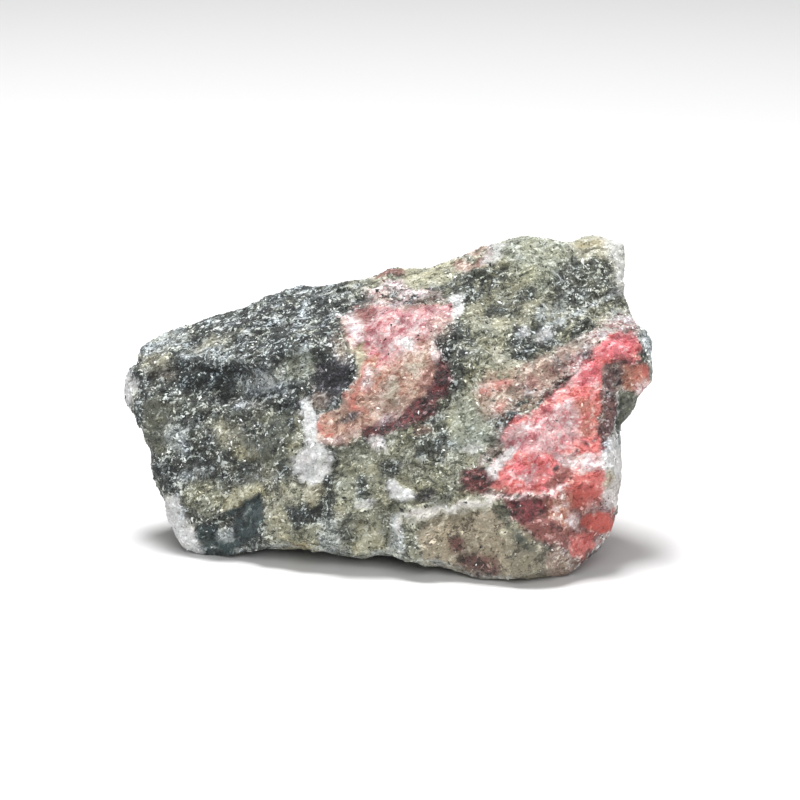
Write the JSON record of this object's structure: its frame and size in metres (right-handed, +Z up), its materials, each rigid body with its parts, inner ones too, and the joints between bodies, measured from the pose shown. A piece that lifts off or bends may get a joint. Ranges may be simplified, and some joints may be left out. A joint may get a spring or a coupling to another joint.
{
  "type": "tugtupite specimen",
  "caption": "Hand-size broken stone of grey-green matrix with a pink vein and a pink patch, resting on worn feet.",
  "frame": {"origin": "on the surface that the stone rests on, under the middle of its outer box", "axes": "+Z up, +X to the right along the stone's length as its broad pink-veined face is looked at, that face looking to -Y"},
  "size_m": [0.053, 0.0315, 0.0306],
  "materials": {
    "stone": "rough sugary broken stone, mottled grey-green, with a coral pink vein, a pale pink patch and white and maroon grains"
  },
  "bodies": {
    "root": {"specimen": "stone"}
  },
  "joints": []
}
